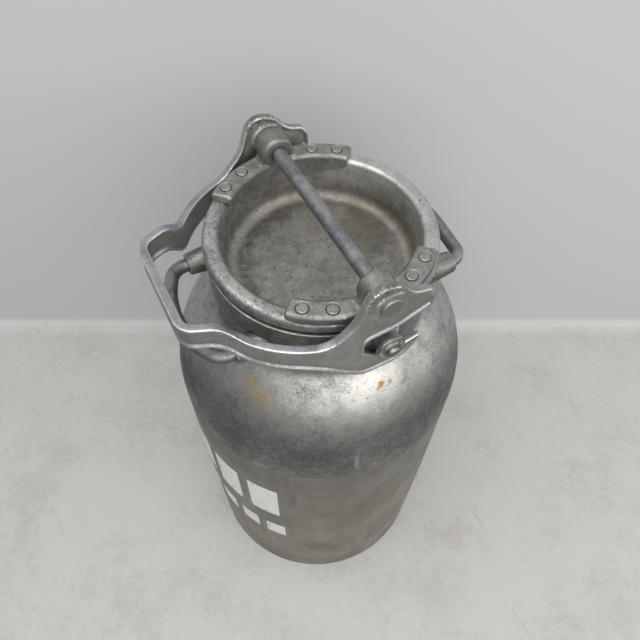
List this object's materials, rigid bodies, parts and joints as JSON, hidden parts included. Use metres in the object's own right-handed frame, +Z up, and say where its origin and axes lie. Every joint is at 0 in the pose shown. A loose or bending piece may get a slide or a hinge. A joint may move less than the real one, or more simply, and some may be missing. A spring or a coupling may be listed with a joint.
{
  "type": "milk can",
  "caption": "Aluminium milk can with a dished lid, a cross rod and a hooked locking lever, and a carry handle on each side.",
  "frame": {"origin": "centre of the can's base, on the floor", "axes": "+Z up the can's axis; the lid's cross rod lies along Y; the closed lever's grip points towards -X"},
  "size_m": [0.264, 0.264, 0.5322],
  "materials": {
    "body_aluminium": "dull grey-brown weathered aluminium",
    "shoulder_aluminium": "worn aluminium with a mottled sheen, pits and ochre stains",
    "cast_aluminium": "rough cast aluminium, bright on its edges",
    "lid_aluminium": "stained aluminium, brownish in the dish",
    "rivet_aluminium": "peened aluminium",
    "forged_lever": "grey forging with polished borders",
    "galvanised_steel": "blue-grey zinc coat",
    "turned_steel": "turned steel, dull, bright on the riveted dome",
    "seal_rubber": "black rubber"
  },
  "bodies": {
    "can": {"lower_shell": "body_aluminium", "foot_ring": "body_aluminium", "shoulder_shell": "shoulder_aluminium", "collar": "cast_aluminium", "carry_handle_grip_side": "galvanised_steel", "carry_handle_nose_side": "galvanised_steel", "handle_socket_grip_side_1": "cast_aluminium", "handle_socket_grip_side_2": "cast_aluminium", "handle_socket_nose_side_1": "cast_aluminium", "handle_socket_nose_side_2": "cast_aluminium", "roller_stud_front": "turned_steel", "roller_stud_back": "turned_steel", "roller_washer_front": "turned_steel", "roller_washer_back": "turned_steel"},
    "lid": {"lid_pan": "lid_aluminium", "lid_gasket": "seal_rubber", "lid_saddle_front": "cast_aluminium", "lid_saddle_back": "cast_aluminium", "saddle_rivets_front": "rivet_aluminium", "saddle_rivets_back": "rivet_aluminium"},
    "lever_assembly": {"lever": "forged_lever", "cross_rod": "galvanised_steel"},
    "front_roller": {"roller_front": "turned_steel"},
    "back_roller": {"roller_back": "turned_steel"}
  },
  "joints": [
    {"name": "lid_lift", "type": "slide", "parent": "can", "child": "lid", "axis": [0, 0, 1], "range_m": [0, 0.0126]},
    {"name": "lever_swing", "type": "hinge", "parent": "lid", "child": "lever_assembly", "pos_m": [0, 0, 0.5102], "axis": [0, 1, 0], "range_deg": [0, 180]},
    {"name": "front_roller_spin", "type": "hinge", "parent": "can", "child": "front_roller", "pos_m": [0.003, -0.0944, 0.4637], "axis": [0, 1, 0], "continuous": true},
    {"name": "back_roller_spin", "type": "hinge", "parent": "can", "child": "back_roller", "pos_m": [0.003, 0.0944, 0.4637], "axis": [0, 1, 0], "continuous": true}
  ],
  "couplings": [
    {"joint": "lid_lift", "follows": "lever_swing", "m_per_rad": 0.004}
  ]
}
